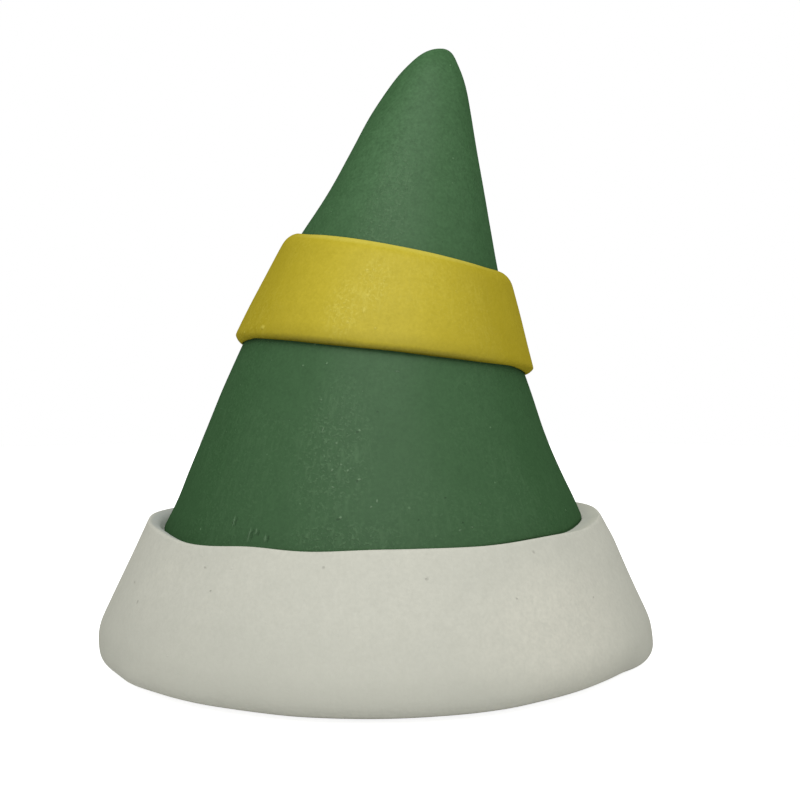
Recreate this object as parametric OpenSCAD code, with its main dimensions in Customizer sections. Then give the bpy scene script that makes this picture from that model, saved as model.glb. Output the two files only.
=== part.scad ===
// Pointed elf hat figurine in baked clay: a bent cone over a crumpled foil core, a band wrapped
// round the cone, a flared cuff round its foot, and a flat disc that closes the underside.
// Millimetres, +Z up, origin at the centre of the flat base. The tip leans towards +X, the front
// looks along -Y, and the butt seams of band and cuff are at the back, +Y.

/* [Hat cone] */
// Outer radius of the cone at its foot, where it stands on the base disc
cone_foot_r = 27.3; // [22:0.1:32]
// Length of the bent centre line, from the base plane to the tip
cone_len = 66.4; // [58:0.2:76]
// Radius that the taper reaches at the tip, before the tip is rounded off
cone_tip_r = 2.4; // [1.5:0.1:4]
// Extra radius of the flare at the foot
flare_r = 0.8; // [0:0.1:2]
// Length over which the flare fades out
flare_len = 37.5; // [20:0.5:50]
// Length of the rounded tip
nose_len = 6.3; // [4:0.1:9]
// Thickness of the clay skin, measured across the centre line
skin_t = 3.2; // [2:0.1:4.5]
// Length of solid clay left at the tip
tip_solid = 14; // [10:0.5:20]

/* [Lean] */
// Straight length of the centre line between the crest of the cuff and the bend
bend_above_crest = 1.7; // [0:0.1:8]
// Radius of the bend
bend_r = 146; // [110:1:220]
// Angle through which the centre line bends
bend_deg = 10.9; // [0:0.1:16]

/* [Band] */
// Distance along the centre line from the crest of the cuff to the foot of the band
band_above_crest = 17; // [8:0.1:22]
// Width of the band along the centre line
band_w = 12; // [6:0.1:16]
// Thickness of the band
band_t = 1.15; // [0.6:0.05:2.5]
// Length of the slanted lower edge of the band
band_slant = 0.9; // [0.2:0.1:2]
// Length of the rounding along the upper edge of the band
band_round = 1.4; // [0.4:0.1:2.5]

/* [Cuff] */
// Height of the crest of the cuff above the base
cuff_h = 14.4; // [10:0.1:20]
// Thickness of the cuff outside the cone's foot
cuff_t = 2.7; // [1.6:0.1:5]
// Width of the dished top, from the cone to the outside of the crest
ledge_w = 2.35; // [1.8:0.05:3.5]
// Radius of the rounded crest
crest_r = 0.65; // [0.3:0.05:0.8]
// Depth of the dished top, from the crest down to where it meets the cone
dish_d = 1.3; // [0.9:0.1:2.5]
// Reach of the rounding under the cuff, measured along the base
foot_round_w = 4.7; // [2:0.1:6]
// Height of the widest place of the cuff
foot_round_h = 2.1; // [1:0.1:3.5]
// Width of the flat ring on which the cuff stands
foot_land = 0.6; // [0.2:0.1:3]

/* [Base disc and foil core] */
// Thickness of the disc that closes the underside
disc_t = 2.5; // [1.5:0.1:4]
// Depth of the creases in the foil core
crease_d = 1.2; // [0.4:0.1:1.6]
// Length of the rounded top of the foil core
core_round = 5; // [3:0.1:8]

/* [Fit] */
// Clearance between pieces that are pressed onto each other
fit_gap = 0.05; // [0.02:0.01:0.2]
// Clearance between the foil core and the clay skin
core_gap = 0.3; // [0.1:0.05:0.6]
// Opening of the butt seams at the back of band and cuff
seam_gap = 0.3; // [0.1:0.05:1]

/* [Hidden] */
$fn = 96;

// Faces round the cone and the band, and round the foil core
cone_sides = 72;
core_sides = 30;
// Steps along the skin, its rounded tip, its cavity, the foil core, and each arc of a profile
body_steps = 20;
nose_steps = 8;
cavity_steps = 12;
core_steps = 14;
arc_steps = 8;
band_steps = 5;
// Power of the curve that rounds the tip, blunter than a ball
nose_power = 4;
// Direction of the butt seams, at the back
seam_dir = 90;
// Creases of the foil: folds round the core, and turn of the folds in degrees per mm of height
crease_folds = [7, 4];
crease_turn = [31, -53];

clay_green = [0.25, 0.43, 0.28];
clay_yellow = [0.76, 0.70, 0.22];
clay_white = [0.84, 0.84, 0.78];
foil_grey = [0.72, 0.73, 0.74];

cuff_r = cone_foot_r + cuff_t;
disc_r = cuff_r - foot_round_w - foot_land;
bend_start = cuff_h + bend_above_crest;
bend_len = bend_r * bend_deg * PI / 180;
nose_start = cone_len - nose_len;
cavity_end = cone_len - tip_solid;
core_end = cavity_end - core_gap;
band_foot = cuff_h + band_above_crest;
band_top = band_foot + band_w;

// Centre line of the cone: straight, then an arc, then straight again. s is the length along it.
function turn_at(s) = min(max(0, s - bend_start), bend_len) / bend_r * 180 / PI;
function past_bend(s) = max(0, s - bend_start - bend_len);
function axis_x(s) = bend_r * (1 - cos(turn_at(s))) + past_bend(s) * sin(bend_deg);
function axis_z(s) = min(s, bend_start) + bend_r * sin(turn_at(s)) + past_bend(s) * cos(bend_deg);

// Point at radius r and angle a, in the plane square to the centre line at s
function around(s, r, a) = [
    axis_x(s) + r * cos(a) * cos(turn_at(s)),
    r * sin(a),
    axis_z(s) - r * cos(a) * sin(turn_at(s))
];
function ring(s, r, sides) = [for (i = [0 : sides - 1]) around(s, r, i * 360 / sides)];

// Radius of the cone: a straight taper, a flare that fades out, and a rounded tip
function taper_r(s) = cone_tip_r
    + (cone_foot_r - flare_r - cone_tip_r) * (cone_len - s) / (cone_len - disc_t);
function flare_at(s) = flare_r * pow(max(0, 1 - (s - disc_t) / flare_len), 2);
function side_r(s) = taper_r(s) + flare_at(s);
function nose_at(s) = sqrt(1 - pow(max(0, (s - nose_start) / nose_len), nose_power));
function cone_r(s) = side_r(s) * nose_at(s);

// Share of the radius that is left near the rounded top end of the cavity and the core
function dome(s, end) = sqrt(max(0, 1 - pow(max(0, (s - end + core_round) / core_round), 2)));
function cavity_r(s) = (side_r(s) - skin_t) * dome(s, cavity_end);

// Depth of the foil's creases at s and a, from 0 to 1
function crease(s, a) = 0.5
    + 0.25 * sin(crease_folds[0] * a + crease_turn[0] * s)
    + 0.25 * cos(crease_folds[1] * a + crease_turn[1] * s);
function core_r(s, a) = (side_r(s) - skin_t - core_gap - crease_d * crease(s, a)) * dome(s, core_end);

// Even steps from a to b, and steps that crowd towards b and stop short of it
function even(a, b, n) = [for (i = [0 : n]) a + (b - a) * i / n];
function crowd(a, b, n) = [for (i = [1 : n - 1]) b - (b - a) * pow(1 - i / n, 2)];
function reversed(list) = [for (i = [len(list) - 1 : -1 : 0]) list[i]];

function arc(centre, rx, ry, from, to) = [
    for (a = even(from, to, arc_steps)) [centre.x + rx * cos(a), centre.y + ry * sin(a)]
];

// Angle that the butt seam takes up on each side at radius r
function seam_half(r) = asin(seam_gap / 2 / r);

// Closed skin through rings of equal length, with a point at each end
module skin(start, rings, end) {
    n = len(rings[0]);
    last = len(rings) - 1;
    flat = [for (one = rings) each one];
    tip = len(flat) + 1;
    function at(i, j) = 1 + i * n + j % n;
    starts = [for (j = [0 : n - 1]) [0, at(0, j), at(0, j + 1)]];
    lower = [for (i = [0 : last - 1], j = [0 : n - 1]) [at(i, j), at(i + 1, j), at(i + 1, j + 1)]];
    upper = [for (i = [0 : last - 1], j = [0 : n - 1]) [at(i, j), at(i + 1, j + 1), at(i, j + 1)]];
    ends = [for (j = [0 : n - 1]) [at(last, j), tip, at(last, j + 1)]];
    polyhedron(points = concat([start], flat, [end]), faces = concat(starts, lower, upper, ends));
}

// White disc that closes the underside, level with the foot of the cuff
module base_disc() {
    color(clay_white)
        cylinder(r = disc_r, h = disc_t);
}

// Core of crumpled foil that the clay skin was laid on
module foil_core() {
    steps = concat(even(disc_t, core_end - core_round, core_steps), crowd(core_end - core_round, core_end, 5));
    rings = [
        for (s = steps)
            [for (a = even(0, 360 - 360 / core_sides, core_sides - 1)) around(s, core_r(s, a), a)]
    ];
    color(foil_grey)
        skin(around(disc_t, 0, 0), rings, around(core_end, 0, 0));
}

// Green skin of the hat: down the cavity from its top, round the foot and up the outside to the tip
module hat_cone() {
    up_cavity = concat(
        even(disc_t, cavity_end - core_round, cavity_steps),
        crowd(cavity_end - core_round, cavity_end, 5)
    );
    up_side = concat(even(disc_t, nose_start, body_steps), crowd(nose_start, cone_len, nose_steps));
    inner = [for (s = reversed(up_cavity)) ring(s, cavity_r(s), cone_sides)];
    outer = [for (s = up_side) ring(s, cone_r(s), cone_sides)];
    color(clay_green)
        skin(around(cavity_end, 0, 0), concat(inner, outer), around(cone_len, 0, 0));
}

// Yellow strip wrapped square to the bent centre line: slanted lower edge, rounded upper edge
module hat_band() {
    inside = [for (s = even(band_foot, band_top, band_steps)) [s, 0]];
    upper_edge = arc([band_top - band_round, 0], band_round, band_t, 0, 90);
    outside = [for (s = even(band_top - band_round, band_foot + band_slant, band_steps)) [s, band_t]];
    section = concat(
        inside,
        [for (i = [1 : arc_steps]) upper_edge[i]],
        [for (i = [1 : band_steps]) outside[i]]
    );
    middle = [(band_foot + band_top) / 2, band_t / 2];
    half = seam_half(side_r(middle.x));
    turns = concat(
        [seam_dir + half],
        [for (i = [1 : cone_sides - 1]) seam_dir + i * 360 / cone_sides],
        [seam_dir + 360 - half]
    );
    function on_band(p, a) = around(p.x, side_r(p.x) + fit_gap + p.y, a);
    rings = [for (a = turns) [for (p = section) on_band(p, a)]];
    color(clay_yellow)
        skin(on_band(middle, turns[0]), rings, on_band(middle, turns[len(turns) - 1]));
}

// White cuff wrapped round disc and cone: flat foot, rounded underside, side that leans in to a
// rounded crest, and a dished top that falls from the crest to the cone
module brim_cuff() {
    crest_z = cuff_h - crest_r;
    crest_mid = [cone_r(crest_z) + ledge_w - crest_r, crest_z];
    belly_mid = [cuff_r - foot_round_h, foot_round_h];
    reach = crest_mid - belly_mid;
    lean = atan2(reach.y, reach.x) - acos((foot_round_h - crest_r) / norm(reach));
    seat_z = cuff_h - dish_d;
    rise = crest_mid - [cone_r(seat_z) + fit_gap, seat_z];
    dish_slope = atan2(rise.y, rise.x) + asin(crest_r / norm(rise));
    profile = concat(
        [[disc_r + fit_gap, 0]],
        arc([cuff_r - foot_round_w, foot_round_h], foot_round_w, foot_round_h, -90, 0),
        arc(belly_mid, foot_round_h, foot_round_h, 0, lean),
        arc(crest_mid, crest_r, crest_r, lean, 90 + dish_slope),
        [for (z = even(seat_z, disc_t, arc_steps)) [cone_r(z) + fit_gap, z]],
        [[disc_r + fit_gap, disc_t]]
    );
    half = seam_half(cone_foot_r);
    color(clay_white)
        rotate([0, 0, seam_dir + half])
            rotate_extrude(angle = 360 - 2 * half)
                polygon(profile);
}

base_disc();
foil_core();
hat_cone();
hat_band();
brim_cuff();
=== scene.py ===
import math

import bpy
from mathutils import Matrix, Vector


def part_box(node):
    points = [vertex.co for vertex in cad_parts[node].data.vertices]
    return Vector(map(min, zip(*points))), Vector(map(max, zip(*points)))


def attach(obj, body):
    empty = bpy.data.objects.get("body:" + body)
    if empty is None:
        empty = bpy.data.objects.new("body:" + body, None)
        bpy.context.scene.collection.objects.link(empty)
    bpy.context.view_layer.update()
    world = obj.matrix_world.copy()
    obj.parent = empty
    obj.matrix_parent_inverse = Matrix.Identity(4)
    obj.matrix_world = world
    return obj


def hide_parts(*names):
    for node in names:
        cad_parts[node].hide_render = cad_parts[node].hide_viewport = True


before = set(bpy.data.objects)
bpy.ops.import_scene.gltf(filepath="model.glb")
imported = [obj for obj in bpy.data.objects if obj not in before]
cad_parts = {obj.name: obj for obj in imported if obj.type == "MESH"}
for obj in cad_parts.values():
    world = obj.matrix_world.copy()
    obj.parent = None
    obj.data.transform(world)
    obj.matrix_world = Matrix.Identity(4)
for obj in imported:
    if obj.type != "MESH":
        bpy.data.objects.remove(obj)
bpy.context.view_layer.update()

mm = 0.001
print("frame loaded, nodes:", sorted(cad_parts))


# picking, as in the viewport
def pickNone():
    if bpy.context.mode != "OBJECT":
        bpy.ops.object.mode_set(mode="OBJECT")
    bpy.ops.object.select_all(action="DESELECT")


def pickOne(piece):
    pickNone()
    bpy.context.view_layer.objects.active = piece
    piece.select_set(True)


def pickVerts(piece, test):
    # leaves the piece in edit mode with just the vertices that pass the test
    pickOne(piece)
    bpy.ops.object.mode_set(mode="EDIT")
    bpy.ops.mesh.select_all(action="DESELECT")
    bpy.ops.object.mode_set(mode="OBJECT")
    for vert in piece.data.vertices:
        vert.select = test(vert)
    bpy.ops.object.mode_set(mode="EDIT")


# the bent centre line that cone and band follow: straight, an arc, straight again
lean = {
    "start": 16.1 * mm,
    "radius": 146 * mm,
    "angle": math.radians(10.9),
}


def axisAt(s):
    arcLength = lean["radius"] * lean["angle"]
    turn = min(max(0, s - lean["start"]), arcLength) / lean["radius"]
    past = max(0, s - lean["start"] - arcLength)
    x = lean["radius"] * (1 - math.cos(turn)) + past * math.sin(turn)
    z = min(s, lean["start"]) + lean["radius"] * math.sin(turn) + past * math.cos(turn)
    return Vector((x, 0, z)), turn


def upAlong(s):
    turn = axisAt(s)[1]
    return Vector((math.sin(turn), 0, math.cos(turn)))


def aroundAxis(s, radius, degrees):
    centre, turn = axisAt(s)
    a = math.radians(degrees)
    across = Vector((math.cos(turn), 0, -math.sin(turn)))
    return centre + radius * (math.cos(a) * across + math.sin(a) * Vector((0, 1, 0)))


# the rim of the cuff, which cone and cuff share because they were pressed together there
rim = {
    "height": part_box("brim_cuff")[1].z,
    "crest": 0.35 * mm,
    "ledge": 2.35 * mm,
    "dish": 0.5 * mm,
    "dishTurn": 18,
    "dishSag": 0.08 * mm,
    "tuck": 0.18 * mm,
    "tuckHeight": 0.45 * mm,
    "seatHalf": 0.9 * mm,
    "seatInside": 1 * mm,
    "seatOutside": 0.3 * mm,
    "seatReach": 1.2 * mm,
    "seatShifts": [  # degrees, half width in degrees, mm out, mm up
        (-165, 50, 0.12, -0.3),
        (-155, 30, 0.12, -0.3),
        (-145, 15, 0.08, -0.2),
        (148, 58, 0.10, -0.25),
        (144, 44, 0.10, -0.25),
        (140, 30, 0.12, -0.30),
        (178, 30, 0.28, -0.08),
    ],
    "grip": 0.15 * mm,
    "fit": 0.05 * mm,
    "pushes": [  # written as in pushAll
        (14.4, -135, 0, -0.65, 10),
        (14.4, -105, 0, -0.3, 7),
        (14.4, -45, 0, 0.25, 9),
        (14.4, -15, 0, 0.55, 10),
        (14.4, 20, 0, 0.5, 11),
        (14.4, 6, 0.1, 0.35, 7),
        (14.4, 55, 0, 0.4, 11),
        (14.4, 158, 0, -0.25, 6),
        (14.4, 178, 0.15, 0.1, 5),
    ],
}
seatZ = rim["height"] - rim["dish"]  # where the dished top meets the cone


def evenSteps(low, high, count):
    return [low + (high - low) * i / count for i in range(count + 1)]


def between(first, last, t):
    return tuple(a + (b - a) * t for a, b in zip(first, last))


def arcSteps(centre, reach, start, stop, count):
    # (distance along the axis, radius) along an arc of an ellipse, angles in degrees
    turns = [math.radians(a) for a in evenSteps(start, stop, count)]
    return [(centre[0] + reach[0] * math.sin(a), centre[1] + reach[1] * math.cos(a)) for a in turns]


def ringTower(name, stations, sides, closing):
    # a circle drawn out ring by ring along the centre line; stations are (distance, radius)
    pickNone()
    s, radius = stations[0]
    centre, turn = axisAt(s)
    bpy.ops.mesh.primitive_circle_add(vertices=sides, radius=radius, location=centre, rotation=(0, turn, 0))
    piece = bpy.context.object
    piece.name = name
    piece.data.name = name
    bpy.ops.object.transform_apply(location=True, rotation=True, scale=True)
    bpy.ops.object.mode_set(mode="EDIT")
    bpy.ops.mesh.select_all(action="SELECT")
    for nextS, nextRadius in stations[1:]:
        nextCentre, nextTurn = axisAt(nextS)
        grow = nextRadius / radius
        bpy.ops.mesh.extrude_region_move(TRANSFORM_OT_translate={"value": nextCentre - centre})
        bpy.ops.transform.resize(value=(grow, grow, grow), center_override=nextCentre)
        bpy.ops.transform.rotate(value=turn - nextTurn, orient_axis="Y", center_override=nextCentre)
        centre, turn, radius = nextCentre, nextTurn, nextRadius
    if closing == "bridge":
        bpy.ops.mesh.select_non_manifold(extend=False)
        bpy.ops.mesh.bridge_edge_loops()
    else:
        bpy.ops.mesh.fill_grid(span=sides // 4)
        bpy.ops.mesh.select_non_manifold(extend=False)
        bpy.ops.mesh.fill_grid(span=sides // 4)
    bpy.ops.mesh.select_all(action="SELECT")
    bpy.ops.mesh.normals_make_consistent(inside=False)
    bpy.ops.object.mode_set(mode="OBJECT")
    return piece


def pushWhere(piece, test, offset, reach, falloff="SMOOTH"):
    # a thumb on the clay: moves the chosen points and what lies within reach
    pickVerts(piece, test)
    bpy.ops.transform.translate(
        value=offset, use_proportional_edit=True, proportional_edit_falloff=falloff, proportional_size=reach
    )
    bpy.ops.object.mode_set(mode="OBJECT")


def pushAt(piece, place, offset, reach):
    nearest = min(piece.data.vertices, key=lambda vert: (vert.co - place).length_squared).index
    pushWhere(piece, lambda vert: vert.index == nearest, offset, reach)


def pushAll(piece, pushes, sideAt):
    # each push: distance along the axis, degrees round it, mm outward, mm upward, reach in mm
    for s, degrees, out, up, reach in pushes:
        place = aroundAxis(s * mm, sideAt(s * mm), degrees)
        outward = (place - axisAt(s * mm)[0]).normalized()
        pushAt(piece, place, (outward * out + upAlong(s * mm) * up) * mm, reach * mm)


# the ends of a wrapped strip meet at the back and leave a shallow, slightly crooked line
seamLine = {
    "half": 0.2 * mm,
    "wander": 0.2 * mm,
    "turnPerMm": 0.7,
}


def pressSeam(piece, backAt, depth, reach):
    def onSeam(vert):
        bend = math.sin(seamLine["turnPerMm"] * vert.co.z / mm)
        middle = axisAt(vert.co.z)[0].x + seamLine["wander"] * bend
        return vert.co.y > backAt(vert.co.z) and abs(vert.co.x - middle) < seamLine["half"]

    pushWhere(piece, onSeam, Vector((0, -depth, 0)), reach, "SHARP")


def shiftStretch(piece, onLoop, degrees, half, offset, reach):
    # a stretch of a loop, half of it to either side of an angle, moves and takes its neighbours along
    def chosen(vert):
        turn = math.degrees(math.atan2(vert.co.y, vert.co.x)) - degrees
        return abs((turn + 180) % 360 - 180) < half and onLoop(vert)

    pushWhere(piece, chosen, offset, reach)


def sinkSeat(piece):
    # the loop where cone and cuff meet lies deeper on the left
    low = coneSkin(seatZ) - rim["seatInside"]
    high = coneSkin(seatZ) + rim["seatOutside"]

    def onSeat(vert):
        return abs(vert.co.z - seatZ) < rim["seatHalf"] and low < vert.co.xy.length < high

    for degrees, half, out, up in rim["seatShifts"]:
        a = math.radians(degrees)
        offset = Vector((out * math.cos(a), out * math.sin(a), up)) * mm
        shiftStretch(piece, onSeat, degrees, half, offset, rim["seatReach"])


def rubEdge(piece, test, strokes):
    # smooths chosen points as a fingertip would
    pickVerts(piece, test)
    bpy.ops.mesh.vertices_smooth(factor=0.5, repeat=strokes)
    bpy.ops.object.mode_set(mode="OBJECT")


def standFlat(piece):
    # whatever hangs below the table is pressed level with it
    pickVerts(piece, lambda vert: vert.co.z < 0)
    bpy.ops.transform.resize(value=(1, 1, 0), center_override=(0, 0, 0))
    bpy.ops.object.mode_set(mode="OBJECT")


def wrapOn(piece, radius):
    # stores how far round and along the bent axis each point lies, for marks that follow the hat
    wrap = piece.data.attributes.new("wrap", "FLOAT_VECTOR", "POINT")
    for vert, item in zip(piece.data.vertices, wrap.data):
        s = vert.co.z
        for step in range(3):  # three rounds settle it
            centre, turn = axisAt(s)
            s += (vert.co - centre).dot(upAlong(s))
        across = (vert.co - centre).dot(Vector((math.cos(turn), 0, -math.sin(turn))))
        a = math.atan2(vert.co.y, across)
        item.vector = (radius * math.cos(a), radius * math.sin(a), s)


def soften(piece, levels):
    pickOne(piece)
    rounding = piece.modifiers.new("rounding", "SUBSURF")
    rounding.levels = levels
    rounding.render_levels = levels
    bpy.ops.object.modifier_apply(modifier=rounding.name)


def kneadLumps(piece, size, height, basis):
    # slow unevenness left by rolling and smoothing with the fingers
    pickOne(piece)
    cloud = bpy.data.textures.new(piece.name + "Lumps", "CLOUDS")
    cloud.noise_scale = size
    cloud.noise_depth = 1
    cloud.noise_basis = basis
    lumps = piece.modifiers.new("lumps", "DISPLACE")
    lumps.texture = cloud
    lumps.texture_coords = "LOCAL"
    lumps.mid_level = 0.5
    lumps.strength = height
    bpy.ops.object.modifier_apply(modifier=lumps.name)


def setPiece(piece, node, material, wrapRadius):
    wrapOn(piece, wrapRadius)
    pickOne(piece)
    bpy.ops.object.shade_smooth()
    piece.data.materials.clear()
    piece.data.materials.append(material)
    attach(piece, "root")
    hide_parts(node)
    print(piece.name, "done,", len(piece.data.polygons), "faces")


# shader helpers
def addNode(tree, kind, values=None, **settings):
    node = tree.nodes.new("ShaderNode" + kind)
    for key, value in settings.items():  # first, because they decide which inputs there are
        setattr(node, key, value)
    for key, value in (values or {}).items():
        node.inputs[key].default_value = value
    return node


def join(tree, source, target):
    tree.links.new(source, target)


def combine(tree, operation, first, second):
    node = addNode(tree, "Math", operation=operation)
    for socket, value in zip(node.inputs, (first, second)):
        if isinstance(value, (int, float)):
            socket.default_value = value
        else:
            join(tree, value, socket)
    return node.outputs[0]


def remap(tree, source, low, high, newLow=0.0, newHigh=1.0):
    ends = {"From Min": low, "From Max": high, "To Min": newLow, "To Max": newHigh}
    node = addNode(tree, "MapRange", ends)
    join(tree, source, node.inputs["Value"])
    return node.outputs["Result"]


def noiseAt(tree, place, size, detail):
    node = addNode(tree, "TexNoise", {"Scale": 1 / size, "Detail": detail})
    join(tree, place, node.inputs["Vector"])
    return node.outputs["Fac"]


def startGroup(name, inputs, outputs):
    tree = bpy.data.node_groups.new(name, "ShaderNodeTree")
    for label, kind in inputs:
        tree.interface.new_socket(label, in_out="INPUT", socket_type=kind)
    for label, kind in outputs:
        tree.interface.new_socket(label, in_out="OUTPUT", socket_type=kind)
    return tree, tree.nodes.new("NodeGroupInput").outputs, tree.nodes.new("NodeGroupOutput").inputs


def blendColour(tree, share, first, second):
    # first and second are sockets or plain colours, share is a socket
    node = addNode(tree, "Mix", data_type="RGBA")
    join(tree, share, node.inputs["Factor"])
    colours = [socket for socket in node.inputs if socket.type == "RGBA"]
    for socket, value in zip(colours, (first, second)):
        if isinstance(value, tuple):
            socket.default_value = (*value, 1)
        else:
            join(tree, value, socket)
    return [socket for socket in node.outputs if socket.type == "RGBA"][0]


# marks of the hand that all the clays share
handMarks = {
    "noiseSpread": (0.3, 0.7),
    "dimple": 2.4 * mm,
    "mottle": 8 * mm,
    "grain": 0.34 * mm,
    "coarseGrain": 1.1 * mm,
    "grainShares": (0.6, 0.4),
    "patch": 9 * mm,
    "patchSpread": (0.38, 0.6),
    "patchMost": 0.38,
    "streakWidth": 0.35 * mm,
    "streakStretch": 0.22,
    "streakSpread": (0.52, 0.75),
    "frost": 0.3 * mm,
    "frostSpread": (0.5, 0.72),
    "fleckApart": 1.15 * mm,
    "fleckSize": (0.08 * mm, 0.18 * mm),
    "fleckChance": (0.08, 0.4),
    "pitApart": 2.1 * mm,
    "pitSize": (0.07 * mm, 0.15 * mm),
    "pitChance": 0.3,
    "dotEdge": 0.45,
    "dotFaintest": 0.25,
    "spotEdge": 0.4,
    "raggedSize": 0.35 * mm,
    "raggedShift": 0.25 * mm,
}


def dotsIn(tree, place, apart, sizes, chance):
    # scattered dots: one possible dot to a cell, its size and whether it is there drawn by lot
    cells = addNode(tree, "TexVoronoi", {"Scale": 1 / apart})
    join(tree, place, cells.inputs["Vector"])
    lot = addNode(tree, "SeparateColor")
    join(tree, cells.outputs["Color"], lot.inputs["Color"])
    radius = remap(tree, lot.outputs["Green"], 0, 1, sizes[0] / apart, sizes[1] / apart)
    reach = combine(tree, "DIVIDE", cells.outputs["Distance"], radius)
    dots = remap(tree, reach, 1.0, handMarks["dotEdge"])
    bold = remap(tree, lot.outputs["Blue"], 0, 1, handMarks["dotFaintest"], 1)
    there = combine(tree, "LESS_THAN", lot.outputs["Red"], chance)
    return combine(tree, "MULTIPLY", combine(tree, "MULTIPLY", dots, bold), there)


def makeHandMarks():
    spec = handMarks
    tree, given, made = startGroup(
        "handMarks",
        [("Place", "NodeSocketVector"), ("Wrap", "NodeSocketVector")]
        + [(label, "NodeSocketFloat") for label in ("RubbedAndSheen", "Dimples", "Streaks", "Grain", "Flecks")],
        [(label, "NodeSocketFloat") for label in ("Height", "Tone", "Grain", "Streak", "Fleck", "Pit")],
    )
    place = given["Place"]
    spread = spec["noiseSpread"]
    fineShare, coarseShare = spec["grainShares"]
    dimples = noiseAt(tree, place, spec["dimple"], 2)
    mottle = remap(tree, noiseAt(tree, place, spec["mottle"], 2), *spread)
    fine = remap(tree, noiseAt(tree, place, spec["grain"], 2), *spread, 0, fineShare)
    coarse = remap(tree, noiseAt(tree, place, spec["coarseGrain"], 3), *spread, 0, coarseShare)
    grain = combine(tree, "ADD", fine, coarse)
    patch = remap(tree, noiseAt(tree, place, spec["patch"], 1), *spec["patchSpread"], 0, spec["patchMost"])
    # patches from rubbing also carry painted sheen: more pale streaks and flecks there
    patch = combine(tree, "MAXIMUM", patch, given["RubbedAndSheen"])
    stretch = addNode(tree, "Mapping", {"Scale": (1, 1, spec["streakStretch"])})
    join(tree, given["Wrap"], stretch.inputs["Vector"])
    strokes = noiseAt(tree, stretch.outputs["Vector"], spec["streakWidth"], 3)
    streaks = remap(tree, strokes, *spec["streakSpread"])
    frost = remap(tree, noiseAt(tree, place, spec["frost"], 1), *spec["frostSpread"])
    streaks = combine(tree, "MULTIPLY", combine(tree, "MAXIMUM", streaks, frost), patch)
    chance = remap(tree, patch, 0, 1, *spec["fleckChance"])
    flecks = dotsIn(tree, place, spec["fleckApart"], spec["fleckSize"], chance)
    pits = dotsIn(tree, place, spec["pitApart"], spec["pitSize"], spec["pitChance"])
    height = combine(tree, "MULTIPLY", dimples, given["Dimples"])
    for mark, amount in ((streaks, "Streaks"), (grain, "Grain"), (flecks, "Flecks")):
        height = combine(tree, "ADD", height, combine(tree, "MULTIPLY", mark, given[amount]))
    height = combine(tree, "SUBTRACT", height, combine(tree, "MULTIPLY", pits, given["Flecks"]))
    for label, mark in zip(made.keys(), (height, mottle, grain, streaks, flecks, pits)):
        join(tree, mark, made[label])
    print("handMarks group built")
    return tree


def makeClaySpot():
    # one mark at a chosen place: solid in its middle, fading out towards its half width and half height
    tree, given, made = startGroup(
        "claySpot",
        [(label, "NodeSocketVector") for label in ("Wrap", "Middle", "Size")],
        [("Mask", "NodeSocketFloat")],
    )
    away = addNode(tree, "VectorMath", operation="SUBTRACT")
    join(tree, given["Wrap"], away.inputs[0])
    join(tree, given["Middle"], away.inputs[1])
    shape = addNode(tree, "VectorMath", operation="DIVIDE")
    join(tree, away.outputs["Vector"], shape.inputs[0])
    join(tree, given["Size"], shape.inputs[1])
    reach = addNode(tree, "VectorMath", operation="LENGTH")
    join(tree, shape.outputs["Vector"], reach.inputs[0])
    join(tree, remap(tree, reach.outputs["Value"], 1.0, handMarks["spotEdge"]), made["Mask"])
    print("claySpot group built")
    return tree


handMarksGroup = makeHandMarks()
claySpotGroup = makeClaySpot()


def raggedWrap(tree, wrap):
    # the way round and along, shaken a little so that placed marks get uneven edges
    shake = addNode(tree, "TexNoise", {"Scale": 1 / handMarks["raggedSize"]})
    join(tree, wrap, shake.inputs["Vector"])
    centred = addNode(tree, "VectorMath", {1: (0.5, 0.5, 0.5)}, operation="SUBTRACT")
    join(tree, shake.outputs["Color"], centred.inputs[0])
    moved = addNode(tree, "VectorMath", {1: (handMarks["raggedShift"],) * 3}, operation="MULTIPLY_ADD")
    join(tree, centred.outputs["Vector"], moved.inputs[0])
    join(tree, wrap, moved.inputs[2])
    return moved.outputs["Vector"]


def placedMarks(tree, ragged, radius, marks):
    # each mark: degrees, distance along, half width and half height in mm
    total = 0.0
    for degrees, s, wide, high in marks:
        a = math.radians(degrees)
        middle = (radius * math.cos(a), radius * math.sin(a), s * mm)
        size = (wide * mm, wide * mm, high * mm)
        spot = addNode(tree, "Group", {"Middle": middle, "Size": size}, node_tree=claySpotGroup)
        join(tree, ragged, spot.inputs["Wrap"])
        total = combine(tree, "MAXIMUM", spot.outputs["Mask"], total)
    return total


def hollowShade(tree, place, colour, spec):
    # painted shade: darker and cooler between the crest and the cone, more of it on the left
    level = addNode(tree, "VectorMath", {1: (1, 1, 0)}, operation="MULTIPLY")
    join(tree, place, level.inputs[0])
    away = addNode(tree, "VectorMath", {1: spec["middle"]}, operation="DISTANCE")
    join(tree, level.outputs[0], away.inputs[0])
    axes = addNode(tree, "SeparateXYZ")
    join(tree, place, axes.inputs["Vector"])
    inside = remap(tree, away.outputs["Value"], *spec["radii"])
    shadeShare = combine(tree, "MULTIPLY", inside, remap(tree, axes.outputs["Z"], *spec["heights"]))
    shadeShare = combine(tree, "MULTIPLY", shadeShare, remap(tree, axes.outputs["X"], *spec["across"], *spec["shares"]))
    return blendColour(tree, shadeShare, colour, spec["tint"])


# the satin that all the clays bake to
clayFinish = {
    "coatRoughness": 0.42,
    "coatFacing": (0.08, 0.5),
    "roughness": (0.75, 0.65),
    "bumpDepth": 0.12 * mm,
}


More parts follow.
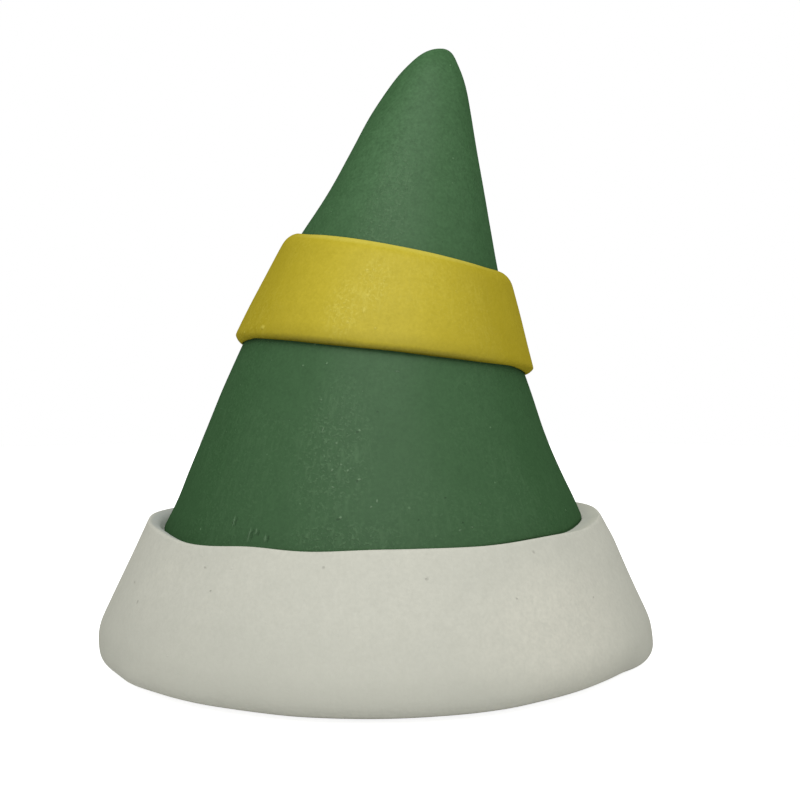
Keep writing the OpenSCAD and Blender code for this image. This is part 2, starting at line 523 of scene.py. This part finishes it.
def makeClay(name, spec):
    material = bpy.data.materials.new(name)
    material.use_nodes = True
    tree = material.node_tree
    shader = tree.nodes["Principled BSDF"]
    shader.inputs["Specular IOR Level"].default_value = 0
    shader.inputs["Coat Roughness"].default_value = clayFinish["coatRoughness"]
    facing = addNode(tree, "LayerWeight", {"Blend": 0.5}).outputs["Facing"]
    coat = remap(tree, facing, *clayFinish["coatFacing"], spec["coat"], 0)  # dull at the edges
    join(tree, coat, shader.inputs["Coat Weight"])
    place = addNode(tree, "TexCoord").outputs["Object"]
    wrap = addNode(tree, "Attribute", attribute_name="wrap").outputs["Vector"]
    ragged = raggedWrap(tree, wrap)
    hand = addNode(tree, "Group", spec["heights"], node_tree=handMarksGroup)
    join(tree, place, hand.inputs["Place"])
    join(tree, wrap, hand.inputs["Wrap"])
    # patches with paler streaks and flecks: partly texture from rubbing, partly painted sheen
    join(tree, placedMarks(tree, ragged, spec["wrapRadius"], spec["rubbedAndSheen"]), hand.inputs["RubbedAndSheen"])
    colour = blendColour(tree, hand.outputs["Tone"], spec["deep"], spec["light"])
    # painted shade: the colour darkens towards the foot over the fade span
    along = addNode(tree, "SeparateXYZ")
    join(tree, wrap, along.inputs["Vector"])
    footward = remap(tree, along.outputs["Z"], spec["fade"][1], spec["fade"][0])
    colour = blendColour(tree, footward, colour, spec["footShade"])
    # painted light: patches made paler where light falls
    for share, tint, marks in spec["paintedLightTones"]:
        mask = placedMarks(tree, ragged, spec["wrapRadius"], marks)
        colour = blendColour(tree, combine(tree, "MULTIPLY", mask, share), colour, tint)
    # painted shade in the dished hollow of the cuff
    if "hollow" in spec:
        colour = hollowShade(tree, place, colour, spec["hollow"])
    for label, (share, tint) in spec["tints"].items():
        colour = blendColour(tree, combine(tree, "MULTIPLY", hand.outputs[label], share), colour, tint)
    height = hand.outputs["Height"]
    # placed marks: real nicks, crumbs and specks, with painted glints and painted shade among them
    for share, tint, lift, marks in spec["placed"]:
        mask = placedMarks(tree, ragged, spec["wrapRadius"], marks)
        colour = blendColour(tree, combine(tree, "MULTIPLY", mask, share), colour, tint)
        height = combine(tree, "ADD", height, combine(tree, "MULTIPLY", mask, lift))
    bump = addNode(tree, "Bump", {"Strength": 1.0, "Distance": clayFinish["bumpDepth"]})
    join(tree, height, bump.inputs["Height"])
    join(tree, bump.outputs["Normal"], shader.inputs["Normal"])
    join(tree, colour, shader.inputs["Base Color"])
    rough = remap(tree, hand.outputs["Tone"], 0, 1, *clayFinish["roughness"])
    join(tree, rough, shader.inputs["Roughness"])
    print(name, "mixed")
    return material


# the painted light patches lie under the grain, placed marks (real marks, painted glints and painted shade)
# over it: each has the share of its tint, the tint, for placed marks how far they stand up, and then a list
# written as in placedMarks
greenClay = {
    "deep": (0.066, 0.153, 0.064),
    "light": (0.073, 0.165, 0.072),
    # painted shade: the colour darkens from the upper fade height down to the lower one
    "fade": (22 * mm, 66 * mm),
    "footShade": (0.0505, 0.118, 0.0485),
    "paintedLightTones": [(0.5, (0.088, 0.190, 0.086), [(-116, 55, 8, 13)])],  # painted highlight near the tip
    "tints": {
        "Grain": (0.80, (0.040, 0.095, 0.039)),
        "Streak": (0.62, (0.092, 0.180, 0.085)),
        "Fleck": (0.8, (0.15, 0.27, 0.14)),
        "Pit": (0.40, (0.020, 0.055, 0.020)),
    },
    "placed": [
        # raised nicks and crumbs, made paler: partly real marks, partly painted highlight
        (
            0.4,
            (0.17, 0.28, 0.16),
            0.6,
            [
                (-127.9, 15.9, 0.11, 0.6),
                (-121.6, 14.9, 0.12, 0.8),
                (-119.7, 15.2, 0.12, 0.4),
                (-116.6, 14.7, 0.11, 0.5),
                (-84.1, 30.4, 0.28, 0.08),
                (-68.1, 15.5, 0.12, 0.12),
                (-64.8, 15.7, 0.12, 0.12),
                (-61.0, 17.9, 0.10, 0.10),
            ],
        ),
        # raised crumbs with painted glints
        (
            0.5,
            (0.21, 0.33, 0.19),
            0.5,
            [
                (-94.5, 24.6, 0.15, 0.15),
                (-93.4, 20.2, 0.15, 0.15),
                (-100.8, 23.3, 0.13, 0.13),
                (-108.0, 27.1, 0.12, 0.14),
                (-97.6, 16.8, 0.14, 0.16),
                (-88.6, 18.3, 0.09, 0.22),
                (-90.1, 17.8, 0.10, 0.14),
                (-96.6, 20.9, 0.09, 0.14),
                (-98.8, 21.4, 0.12, 0.10),
                (-101.0, 20.9, 0.08, 0.18),
                (-100.2, 19.4, 0.12, 0.10),
                (-105.5, 24.4, 0.08, 0.24),
            ],
        ),
        (
            0.6,
            (0.026, 0.066, 0.026),
            -0.5,
            [  # painted shadow in small hollows beside the nicks and the larger crumbs
                (-127.1, 15.8, 0.10, 0.55),
                (-120.8, 14.8, 0.11, 0.75),
                (-118.9, 15.1, 0.11, 0.40),
                (-115.8, 14.6, 0.10, 0.45),
                (-95.2, 24.4, 0.13, 0.15),
                (-94.1, 20.0, 0.13, 0.15),
                (-98.3, 16.6, 0.12, 0.14),
            ],
        ),
    ],
    # patches with paler streaks and flecks: partly texture from rubbing, partly painted sheen
    "rubbedAndSheen": [(-102, 22.5, 4, 9), (-97, 14.8, 5, 2.5), (-102, 48, 6, 11)],
    "wrapRadius": 15 * mm,
    "heights": {"Dimples": 0.5, "Streaks": 0.5, "Grain": 0.25, "Flecks": 0.7},
    "coat": 0.30,
}

yellowClay = {
    "deep": (0.425, 0.343, 0.026),
    "light": (0.465, 0.380, 0.032),
    # painted shade: the colour darkens from the upper fade height down to the lower one
    "fade": (28 * mm, 46 * mm),
    "footShade": (0.405, 0.326, 0.024),
    "paintedLightTones": [(0.8, (0.556, 0.455, 0.038), [(-97, 37.5, 13, 14)])],  # painted highlight in front
    "tints": {
        "Grain": (0.45, (0.365, 0.296, 0.014)),
        "Streak": (0.58, (0.62, 0.54, 0.085)),
        "Fleck": (0.55, (0.62, 0.54, 0.09)),
        "Pit": (0.40, (0.30, 0.24, 0.010)),
    },
    "placed": [
        # painted shade darkens the lower lip, a painted highlight runs along the upper edge
        (0.4, (0.240, 0.195, 0.012), 0, [(-112, 31.6, 13, 2.7), (-78, 31.7, 13, 2.7)]),
        (0.9, (0.130, 0.113, 0.009), 0, [(-112, 31.8, 13, 1.2), (-78, 31.8, 13, 1.2)]),
        (0.35, (0.700, 0.620, 0.130), 0, [(-112, 42.8, 13, 0.5), (-75, 42.8, 13, 0.5)]),
        # raised specks with painted glints
        (
            0.55,
            (0.68, 0.59, 0.10),
            0.4,
            [
                (-101.0, 39.9, 0.20, 0.14),
                (-98.1, 40.0, 0.16, 0.14),
                (-98.3, 37.4, 0.22, 0.24),
                (-98.5, 35.9, 0.20, 0.32),
                (-93.4, 34.3, 0.16, 0.14),
                (-103.4, 34.6, 0.14, 0.14),
                (-141.0, 33.3, 0.40, 0.25),
            ],
        ),
    ],
    # patches with paler streaks and flecks on the band front: painted glints over a little texture
    "rubbedAndSheen": [(-97, 38.5, 2.5, 4), (-106, 36, 2.5, 4)],
    "wrapRadius": 15 * mm,
    "heights": {"Dimples": 0.8, "Streaks": 0.25, "Grain": 0.25, "Flecks": 0.5},
    "coat": 0.30,
}

whiteClay = {
    "deep": (0.605, 0.606, 0.525),
    "light": (0.635, 0.632, 0.546),
    # painted shade: the colour darkens from the upper fade height down to the lower one
    "fade": (0 * mm, 9 * mm),
    "footShade": (0.515, 0.519, 0.449),
    "paintedLightTones": [
        (0.6, (0.720, 0.705, 0.604), [(-52, 7, 12, 7)]),  # painted light, a little paler on the right
        (0.9, (0.660, 0.660, 0.580), [(-90, 0, 120, 2.2)]),  # painted light, paler where it stands, against the shade at the foot
    ],
    "tints": {
        "Grain": (0.60, (0.520, 0.522, 0.448)),
        "Streak": (0.15, (0.66, 0.66, 0.58)),
        "Fleck": (0.10, (0.70, 0.70, 0.62)),
        "Pit": (0.25, (0.40, 0.39, 0.31)),
    },
    "placed": [
        (
            0.28,
            (0.13, 0.12, 0.10),
            -0.3,
            [
                (-145.2, 7.9, 0.22, 0.22),
                (-151.0, 9.3, 0.24, 0.16),
                (-123.2, 10.25, 0.16, 0.14),
                (-126.9, 12.1, 0.24, 0.08),
                (-78.9, 11.95, 0.16, 0.16),
                (-99.4, 12.9, 0.16, 0.18),
                (-53.5, 13.5, 0.22, 0.20),
                (-60.8, 9.8, 0.13, 0.13),
                (-39.8, 8.7, 0.14, 0.14),
            ],
        ),
    ],
    # painted shade in the dish between the crest and the cone
    "hollow": {
        "middle": (-0.45 * mm, 0, 0),
        "radii": (24.25 * mm, 23.75 * mm),
        "heights": (11 * mm, 12 * mm),
        "across": (-20 * mm, 20 * mm),
        "shares": (0.75, 0.2),
        "tint": (0.500, 0.530, 0.530),
    },
    "rubbedAndSheen": [(-88, 11, 5, 3)],
    "wrapRadius": 28 * mm,
    "heights": {"Dimples": 0.5, "Streaks": 0.05, "Grain": 0.12, "Flecks": 0.2},
    "coat": 0.15,
}

green = makeClay("greenClay", greenClay)
yellow = makeClay("yellowClay", yellowClay)
white = makeClay("whiteClay", whiteClay)

# the green cone: up the outside from its foot to the tip, with the hollow for the core inside
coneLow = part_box("hat_cone")[0]
hatCone = {
    "sides": 72,
    "footR": -coneLow.x,
    "footZ": coneLow.z,
    "length": 66.4 * mm,
    "tipR": 2.4 * mm,
    "flareR": 0.8 * mm,
    "flareLength": 37.5 * mm,
    "noseLength": 6.3 * mm,
    "nosePower": 4,
    "skin": 3.2 * mm,
    "skirt": 0.4 * mm,
    "tipSolid": 14 * mm,
    "domeLength": 5 * mm,
    "domeTurn": (18, 72),
    "tuckRings": (0, 0.08, 0.25, 0.5, 0.75),
    "sideRings": 22,
    "noseRings": 9,
    "hollowRings": 8,
    "domeRings": 3,
    "lumpSize": 9 * mm,
    "lumpHeight": 0.2 * mm,
    "pushes": [  # written as in pushAll
        (48.5, 180, -0.38, 0, 8),
        (58.5, 180, 0.28, 0, 5),
        (64.2, 180, -0.42, 0, 3),
        (22, 180, -0.18, 0, 7),
        (13.2, 180, 0.3, 0, 4),
        (28.8, 0, 0.2, 0, 5),
    ],
    "tipShift": Vector((0.65, 0, -0.22)) * mm,
    "tipReach": 3.2 * mm,
}


def coneSide(s):
    spec = hatCone
    share = (spec["length"] - s) / (spec["length"] - spec["footZ"])
    flare = spec["flareR"] * max(0, 1 - (s - spec["footZ"]) / spec["flareLength"]) ** 2
    return spec["tipR"] + (spec["footR"] - spec["flareR"] - spec["tipR"]) * share + flare


def coneSkin(s):
    spec = hatCone
    t = max(0, (s - spec["length"] + spec["noseLength"]) / spec["noseLength"])
    return coneSide(s) * math.sqrt(1 - t ** spec["nosePower"])


def coneFoot(s):
    # the skin rounds inwards where it meets the cuff
    t = min(max(0, (s - seatZ) / rim["tuckHeight"]), 1)
    return coneSkin(s) - rim["tuck"] * (1 - math.sqrt(1 - (1 - t) ** 2))


def makeHatCone():
    spec = hatCone
    noseStart = spec["length"] - spec["noseLength"]
    domeStart = spec["length"] - spec["tipSolid"] - spec["domeLength"]
    steps = evenSteps(spec["footZ"], domeStart, spec["hollowRings"])
    hollow = [(s, coneSide(s) - spec["skin"]) for s in steps]
    domeReach = (spec["domeLength"], hollow[-1][1])
    dome = arcSteps((domeStart, 0), domeReach, *spec["domeTurn"], spec["domeRings"])
    levels = [spec["footZ"], (spec["footZ"] + seatZ) / 2, seatZ - spec["skirt"]]
    levels += [seatZ + rim["tuckHeight"] * share for share in spec["tuckRings"]]
    levels += evenSteps(seatZ + rim["tuckHeight"], noseStart, spec["sideRings"])
    outside = [(s, coneFoot(s)) for s in levels]
    nose = [spec["length"] - spec["noseLength"] * t**2 for t in evenSteps(1, 0, spec["noseRings"])[1:-1]]
    outside += [(s, coneSkin(s)) for s in nose]
    piece = ringTower("hatCone", dome[::-1] + hollow[::-1] + outside, spec["sides"], "grid")
    sinkSeat(piece)
    pushAll(piece, rim["pushes"], coneSkin)
    pushAll(piece, spec["pushes"], coneSkin)
    pushAt(piece, axisAt(spec["length"])[0], spec["tipShift"], spec["tipReach"])
    soften(piece, 2)
    kneadLumps(piece, spec["lumpSize"], spec["lumpHeight"], "IMPROVED_PERLIN")
    setPiece(piece, "hat_cone", green, greenClay["wrapRadius"])


makeHatCone()

# the yellow band: inside up, over the rounded upper edge, down the outside, in under the lower edge
hatBand = {
    "sides": 72,
    "foot": 31.4 * mm,
    "width": 12 * mm,
    "thick": 1.15 * mm,
    "slant": 0.9 * mm,
    "roundLength": 1.4 * mm,
    "fit": 0.05 * mm,
    "sink": 0.15 * mm,
    "edgeTurn": (75, 0),
    "lip": ((0.08, 1.0), (-0.06, 0.94), (-0.42, 0.66), (-0.72, 0.34), (-0.9, 0.02)),  # shares down and out
    "insideRings": 6,
    "edgeRings": 5,
    "outsideRings": 7,
    "lumpSize": 9 * mm,
    "lumpHeight": 0.2 * mm,
    "pushes": [(37, 0, 0.25, 0, 9)],  # written as in pushAll
    "frontFrom": -7.5 * mm,
    "footLift": (0.42, 0.16),  # mm along the axis, mm back
    "topDrop": (-0.42, -0.15),
    "frontReach": 9 * mm,
    "edgeWidth": 1.7 * mm,
    "rubHeight": 4.4 * mm,
    "rubs": [(-3.2, 3), (-4.6, 5), (-6, 8), (-7.5, 14)],  # in front of this many mm, strokes
    "seamDepth": 0.3 * mm,
    "seamReach": 0.6 * mm,
}


def slideEdge(piece, s, side, slide):
    # the front of one edge moves along the cone, further in as it goes up
    centre = axisAt(s)[0]
    upward = upAlong(s)
    near = -hatBand["edgeWidth"]
    pushWhere(
        piece,
        lambda vert: side * (vert.co - centre).dot(upward) > near and vert.co.y < hatBand["frontFrom"],
        (upward * slide[0] + Vector((0, slide[1], 0))) * mm,
        hatBand["frontReach"],
    )


def makeHatBand():
    spec = hatBand
    top = spec["foot"] + spec["width"]
    roundStart = top - spec["roundLength"]
    corner = spec["foot"] + spec["slant"]
    inside = [(s, 0) for s in evenSteps(spec["foot"], top, spec["insideRings"])]
    inside[0] = (spec["foot"], -spec["sink"])
    edgeReach = (spec["roundLength"], spec["thick"])
    edge = arcSteps((roundStart, 0), edgeReach, *spec["edgeTurn"], spec["edgeRings"])
    steps = evenSteps(roundStart, corner + spec["slant"] / 2, spec["outsideRings"])
    outside = [(s, spec["thick"]) for s in steps[1:]]
    under = [(corner + spec["slant"] * down, spec["thick"] * out) for down, out in spec["lip"]]
    rings = [(s, coneSide(s) + spec["fit"] + off) for s, off in inside + edge + outside + under]
    piece = ringTower("hatBand", rings, spec["sides"], "bridge")
    slideEdge(piece, spec["foot"], -1, spec["footLift"])
    slideEdge(piece, top, 1, spec["topDrop"])
    pushAll(piece, spec["pushes"], coneSide)
    soften(piece, 1)
    footMid, footUp = axisAt(spec["foot"])[0], upAlong(spec["foot"])
    for front, strokes in spec["rubs"]:
        rubEdge(
            piece,
            lambda vert: vert.co.y < front * mm and (vert.co - footMid).dot(footUp) < spec["rubHeight"],
            strokes,
        )
    soften(piece, 1)
    kneadLumps(piece, spec["lumpSize"], spec["lumpHeight"], "IMPROVED_PERLIN")
    pressSeam(piece, lambda z: coneSide(z) + spec["thick"] / 2, spec["seamDepth"], spec["seamReach"])
    setPiece(piece, "hat_band", yellow, yellowClay["wrapRadius"])


makeHatBand()

# the white cuff: flat foot, rounded underside, side leaning in to the crest, dished top, seat on the cone
brimCuff = {
    "sides": 80,
    "wide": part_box("brim_cuff")[1].x,
    "discR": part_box("base_disc")[1].x,
    "discThick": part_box("base_disc")[1].z,
    "footReach": 4.7 * mm,
    "belly": 2.1 * mm,
    "sideRound": 5.5 * mm,
    "wallDrop": 0.5 * mm,
    "footRings": 7,
    "bellyRings": 4,
    "sideRings": 9,
    "crestRings": 6,
    "dishRings": 4,
    "wallRings": 4,
    "lumpSize": 11 * mm,
    "lumpHeight": 0.2 * mm,
    "seamDepth": 0.35 * mm,
    "seamReach": 0.9 * mm,
    "shoulderHalf": 42,
    "shoulderDrop": 1.3 * mm,
    "shoulderWidth": 1.2 * mm,
    "shoulderStrokes": 10,
    "footBelow": 1.0 * mm,
    "footBeyond": 25.5 * mm,
    "footPush": 3 * mm,
    "footShifts": [  # degrees, half width in degrees, mm out
        (180, 12, -0.3),
        (-165, 8, -0.25),
        (-148, 12, 0.4),
        (-131, 10, 0.35),
        (-3, 8, -0.35),
        (-21, 7, 0.45),
        (-45, 14, -0.4),
    ],
}


def cuffRim():
    # radius of the middle of the crest
    return coneSkin(rim["height"] - rim["crest"]) + rim["ledge"] - rim["crest"]


def onFoot(vert):
    return vert.co.z < brimCuff["footBelow"] and vert.co.xy.length > brimCuff["footBeyond"]


def onShoulder(vert):
    # the crest on the right, which is rubbed softer than the rest
    spec = brimCuff
    onRight = abs(math.degrees(math.atan2(vert.co.y, vert.co.x))) < spec["shoulderHalf"]
    outside = vert.co.xy.length > cuffRim() - spec["shoulderWidth"]
    return onRight and outside and vert.co.z > rim["height"] - spec["shoulderDrop"]


def makeBrimCuff():
    spec = brimCuff
    crestMid = (rim["height"] - rim["crest"], cuffRim())
    bellyMid = (spec["belly"], spec["wide"] - spec["sideRound"])
    rise, run = crestMid[0] - bellyMid[0], crestMid[1] - bellyMid[1]
    crossed = math.acos((spec["sideRound"] - rim["crest"]) / math.hypot(rise, run))
    slope = math.degrees(math.atan2(rise, run) - crossed)  # of the straight side that touches both rounds
    footStart = spec["wide"] - spec["footReach"]
    inner = spec["discR"] + rim["fit"]
    under = [(0, inner), (0, (inner + footStart) / 2)]
    footRound = (spec["belly"], spec["footReach"])
    under += arcSteps((spec["belly"], footStart), footRound, -90, 0, spec["footRings"])
    belly = arcSteps(bellyMid, (spec["sideRound"], spec["sideRound"]), 0, slope, spec["bellyRings"])[1:]
    crestStop = 90 + rim["dishTurn"]
    crest = arcSteps(crestMid, (rim["crest"], rim["crest"]), slope, crestStop, spec["crestRings"])
    side = [between(belly[-1], crest[0], t) for t in evenSteps(0, 1, spec["sideRings"])[1:-1]]
    seatR = coneFoot(seatZ) - rim["grip"]
    dish = []
    for t in evenSteps(0, 1, spec["dishRings"])[1:]:
        s, radius = between(crest[-1], (seatZ, seatR), t)
        sag = 4 * rim["dishSag"] * t * (1 - t)
        dish.append((s - sag, radius))
    steps = evenSteps(seatZ - spec["wallDrop"], spec["discThick"], spec["wallRings"])
    wall = [(s, coneSkin(s) + rim["fit"]) for s in steps]
    rings = under + belly + side + crest + dish + wall + [(spec["discThick"], inner)]
    piece = ringTower("brimCuff", rings, spec["sides"], "bridge")
    sinkSeat(piece)
    rubEdge(piece, onShoulder, spec["shoulderStrokes"])
    pushAll(piece, rim["pushes"], lambda s: cuffRim())
    for degrees, half, out in spec["footShifts"]:
        a = math.radians(degrees)
        outward = Vector((math.cos(a), math.sin(a), 0))
        shiftStretch(piece, onFoot, degrees, half, outward * out * mm, spec["footPush"])
    soften(piece, 2)
    kneadLumps(piece, spec["lumpSize"], spec["lumpHeight"], "ORIGINAL_PERLIN")
    pressSeam(piece, lambda z: spec["discR"], spec["seamDepth"], spec["seamReach"])
    standFlat(piece)
    setPiece(piece, "brim_cuff", white, whiteClay["wrapRadius"])


makeBrimCuff()

# the white disc that closes the underside
baseDisc = {
    "sides": 64,
    "radius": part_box("base_disc")[1].x,
    "thick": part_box("base_disc")[1].z,
    "round": 0.4 * mm,
    "roundRings": 4,
    "flatEdge": 1 * mm,
    "lumpSize": 7 * mm,
    "lumpHeight": 0.12 * mm,
}


def makeBaseDisc():
    spec = baseDisc
    inset = spec["radius"] - spec["round"]
    corner = (spec["round"], spec["round"])
    lower = arcSteps((spec["round"], inset), corner, -90, 0, spec["roundRings"])
    upper = arcSteps((spec["thick"] - spec["round"], inset), corner, 0, 90, spec["roundRings"])
    flatR = inset - spec["flatEdge"]
    rings = [(0, flatR)] + lower + upper + [(spec["thick"], flatR)]
    piece = ringTower("baseDisc", rings, spec["sides"], "grid")
    soften(piece, 2)
    kneadLumps(piece, spec["lumpSize"], spec["lumpHeight"], "ORIGINAL_PERLIN")
    standFlat(piece)
    setPiece(piece, "base_disc", white, whiteClay["wrapRadius"])


makeBaseDisc()

# the core keeps its own shape and gets a crumpled foil
kitchenFoil = {
    "dull": (0.60, 0.61, 0.62),
    "bright": (0.80, 0.81, 0.82),
    "crumple": 3.2 * mm,
    "facetReach": 0.5,
    "wrinkle": 0.9 * mm,
    "wrinkleSpread": (0.3, 0.7),
    "wrinkleShare": 0.4,
    "bumpDepth": 0.5 * mm,
    "roughness": (0.42, 0.24),
}


def makeFoil():
    spec = kitchenFoil
    material = bpy.data.materials.new("kitchenFoil")
    material.use_nodes = True
    tree = material.node_tree
    shader = tree.nodes["Principled BSDF"]
    shader.inputs["Metallic"].default_value = 1
    place = addNode(tree, "TexCoord").outputs["Object"]
    folds = addNode(tree, "TexVoronoi", {"Scale": 1 / spec["crumple"]}, feature="DISTANCE_TO_EDGE")
    join(tree, place, folds.inputs["Vector"])
    facets = remap(tree, folds.outputs["Distance"], 0, spec["facetReach"])
    wrinkles = noiseAt(tree, place, spec["wrinkle"], 3)
    height = combine(tree, "ADD", facets, combine(tree, "MULTIPLY", wrinkles, spec["wrinkleShare"]))
    bump = addNode(tree, "Bump", {"Strength": 1.0, "Distance": spec["bumpDepth"]})
    join(tree, height, bump.inputs["Height"])
    join(tree, bump.outputs["Normal"], shader.inputs["Normal"])
    join(tree, blendColour(tree, facets, spec["bright"], spec["dull"]), shader.inputs["Base Color"])
    rough = remap(tree, wrinkles, *spec["wrinkleSpread"], *spec["roughness"])
    join(tree, rough, shader.inputs["Roughness"])
    print("kitchenFoil mixed")
    return material


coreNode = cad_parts["foil_core"]
coreNode.data.materials.clear()
coreNode.data.materials.append(makeFoil())

# floor, light and camera
studio = {
    "floorSize": 0.7,
    "floorSides": 96,
    "floorColour": (0.8, 0.8, 0.8, 1),
    "floorRoughness": 0.9,
    "floorGloss": 0.1,
    "floorGlow": (0.86, 1.0),
    "glowReach": (0.04, 0.16),
    "ambient": 0.57,
    "keyPlace": (0.0, -0.095, 0.135),
    "keyAim": (0, 0, 0.03),
    "keySize": 0.16,
    "keyPower": 0.120,
}


def cameraShare(tree):
    # 1 where the camera or a mirror looks, 0 where light is gathered
    path = addNode(tree, "LightPath")
    seen = combine(tree, "MAXIMUM", path.outputs["Is Camera Ray"], path.outputs["Is Glossy Ray"])
    return combine(tree, "MAXIMUM", seen, path.outputs["Is Transmission Ray"])


def makeStudio():
    pickNone()
    floorR = studio["floorSize"] / 2
    bpy.ops.mesh.primitive_circle_add(vertices=studio["floorSides"], radius=floorR, fill_type="NGON")
    floor = bpy.context.object
    floor.name = "floor"
    paper = bpy.data.materials.new("floorPaper")
    paper.use_nodes = True
    tree = paper.node_tree
    shader = tree.nodes["Principled BSDF"]
    shader.inputs["Base Color"].default_value = studio["floorColour"]
    shader.inputs["Roughness"].default_value = studio["floorRoughness"]
    shader.inputs["Specular IOR Level"].default_value = studio["floorGloss"]
    shader.inputs["Emission Color"].default_value = (1, 1, 1, 1)
    away = addNode(tree, "VectorMath", operation="LENGTH")
    join(tree, addNode(tree, "TexCoord").outputs["Object"], away.inputs[0])
    glow = remap(tree, away.outputs["Value"], *studio["glowReach"], *studio["floorGlow"])
    join(tree, combine(tree, "MULTIPLY", cameraShare(tree), glow), shader.inputs["Emission Strength"])
    floor.data.materials.append(paper)
    world = bpy.data.worlds.new("studioWorld")
    bpy.context.scene.world = world
    world.use_nodes = True
    tree = world.node_tree
    sky = tree.nodes["Background"]
    sky.inputs["Color"].default_value = (1, 1, 1, 1)
    join(tree, remap(tree, cameraShare(tree), 0, 1, studio["ambient"], 1), sky.inputs["Strength"])
    bpy.ops.object.light_add(type="AREA", location=studio["keyPlace"])
    key = bpy.context.object
    key.name = "keySoftbox"
    key.data.shape = "DISK"
    key.data.size = studio["keySize"]
    key.data.energy = studio["keyPower"]
    aim = Vector(studio["keyAim"]) - Vector(studio["keyPlace"])
    key.rotation_euler = aim.to_track_quat("-Z", "Y").to_euler()
    print("studio lit")


makeStudio()

photoCamera = {
    "place": (2.62 * mm, -120 * mm, 30.05 * mm),
    "pitch": 1.43,
    "lens": 48.7,
    "sensor": 36,
    "nearest": 1 * mm,
}


def makeCamera():
    pickNone()
    tilt = math.radians(90 - photoCamera["pitch"])
    bpy.ops.object.camera_add(location=photoCamera["place"], rotation=(tilt, 0, 0))
    camera = bpy.context.object
    camera.name = "photoCamera"
    camera.data.lens = photoCamera["lens"]
    camera.data.sensor_width = photoCamera["sensor"]
    camera.data.clip_start = photoCamera["nearest"]
    bpy.context.scene.camera = camera
    bpy.context.scene.view_settings.view_transform = "Standard"
    print("camera set")


makeCamera()

print("scene ready")
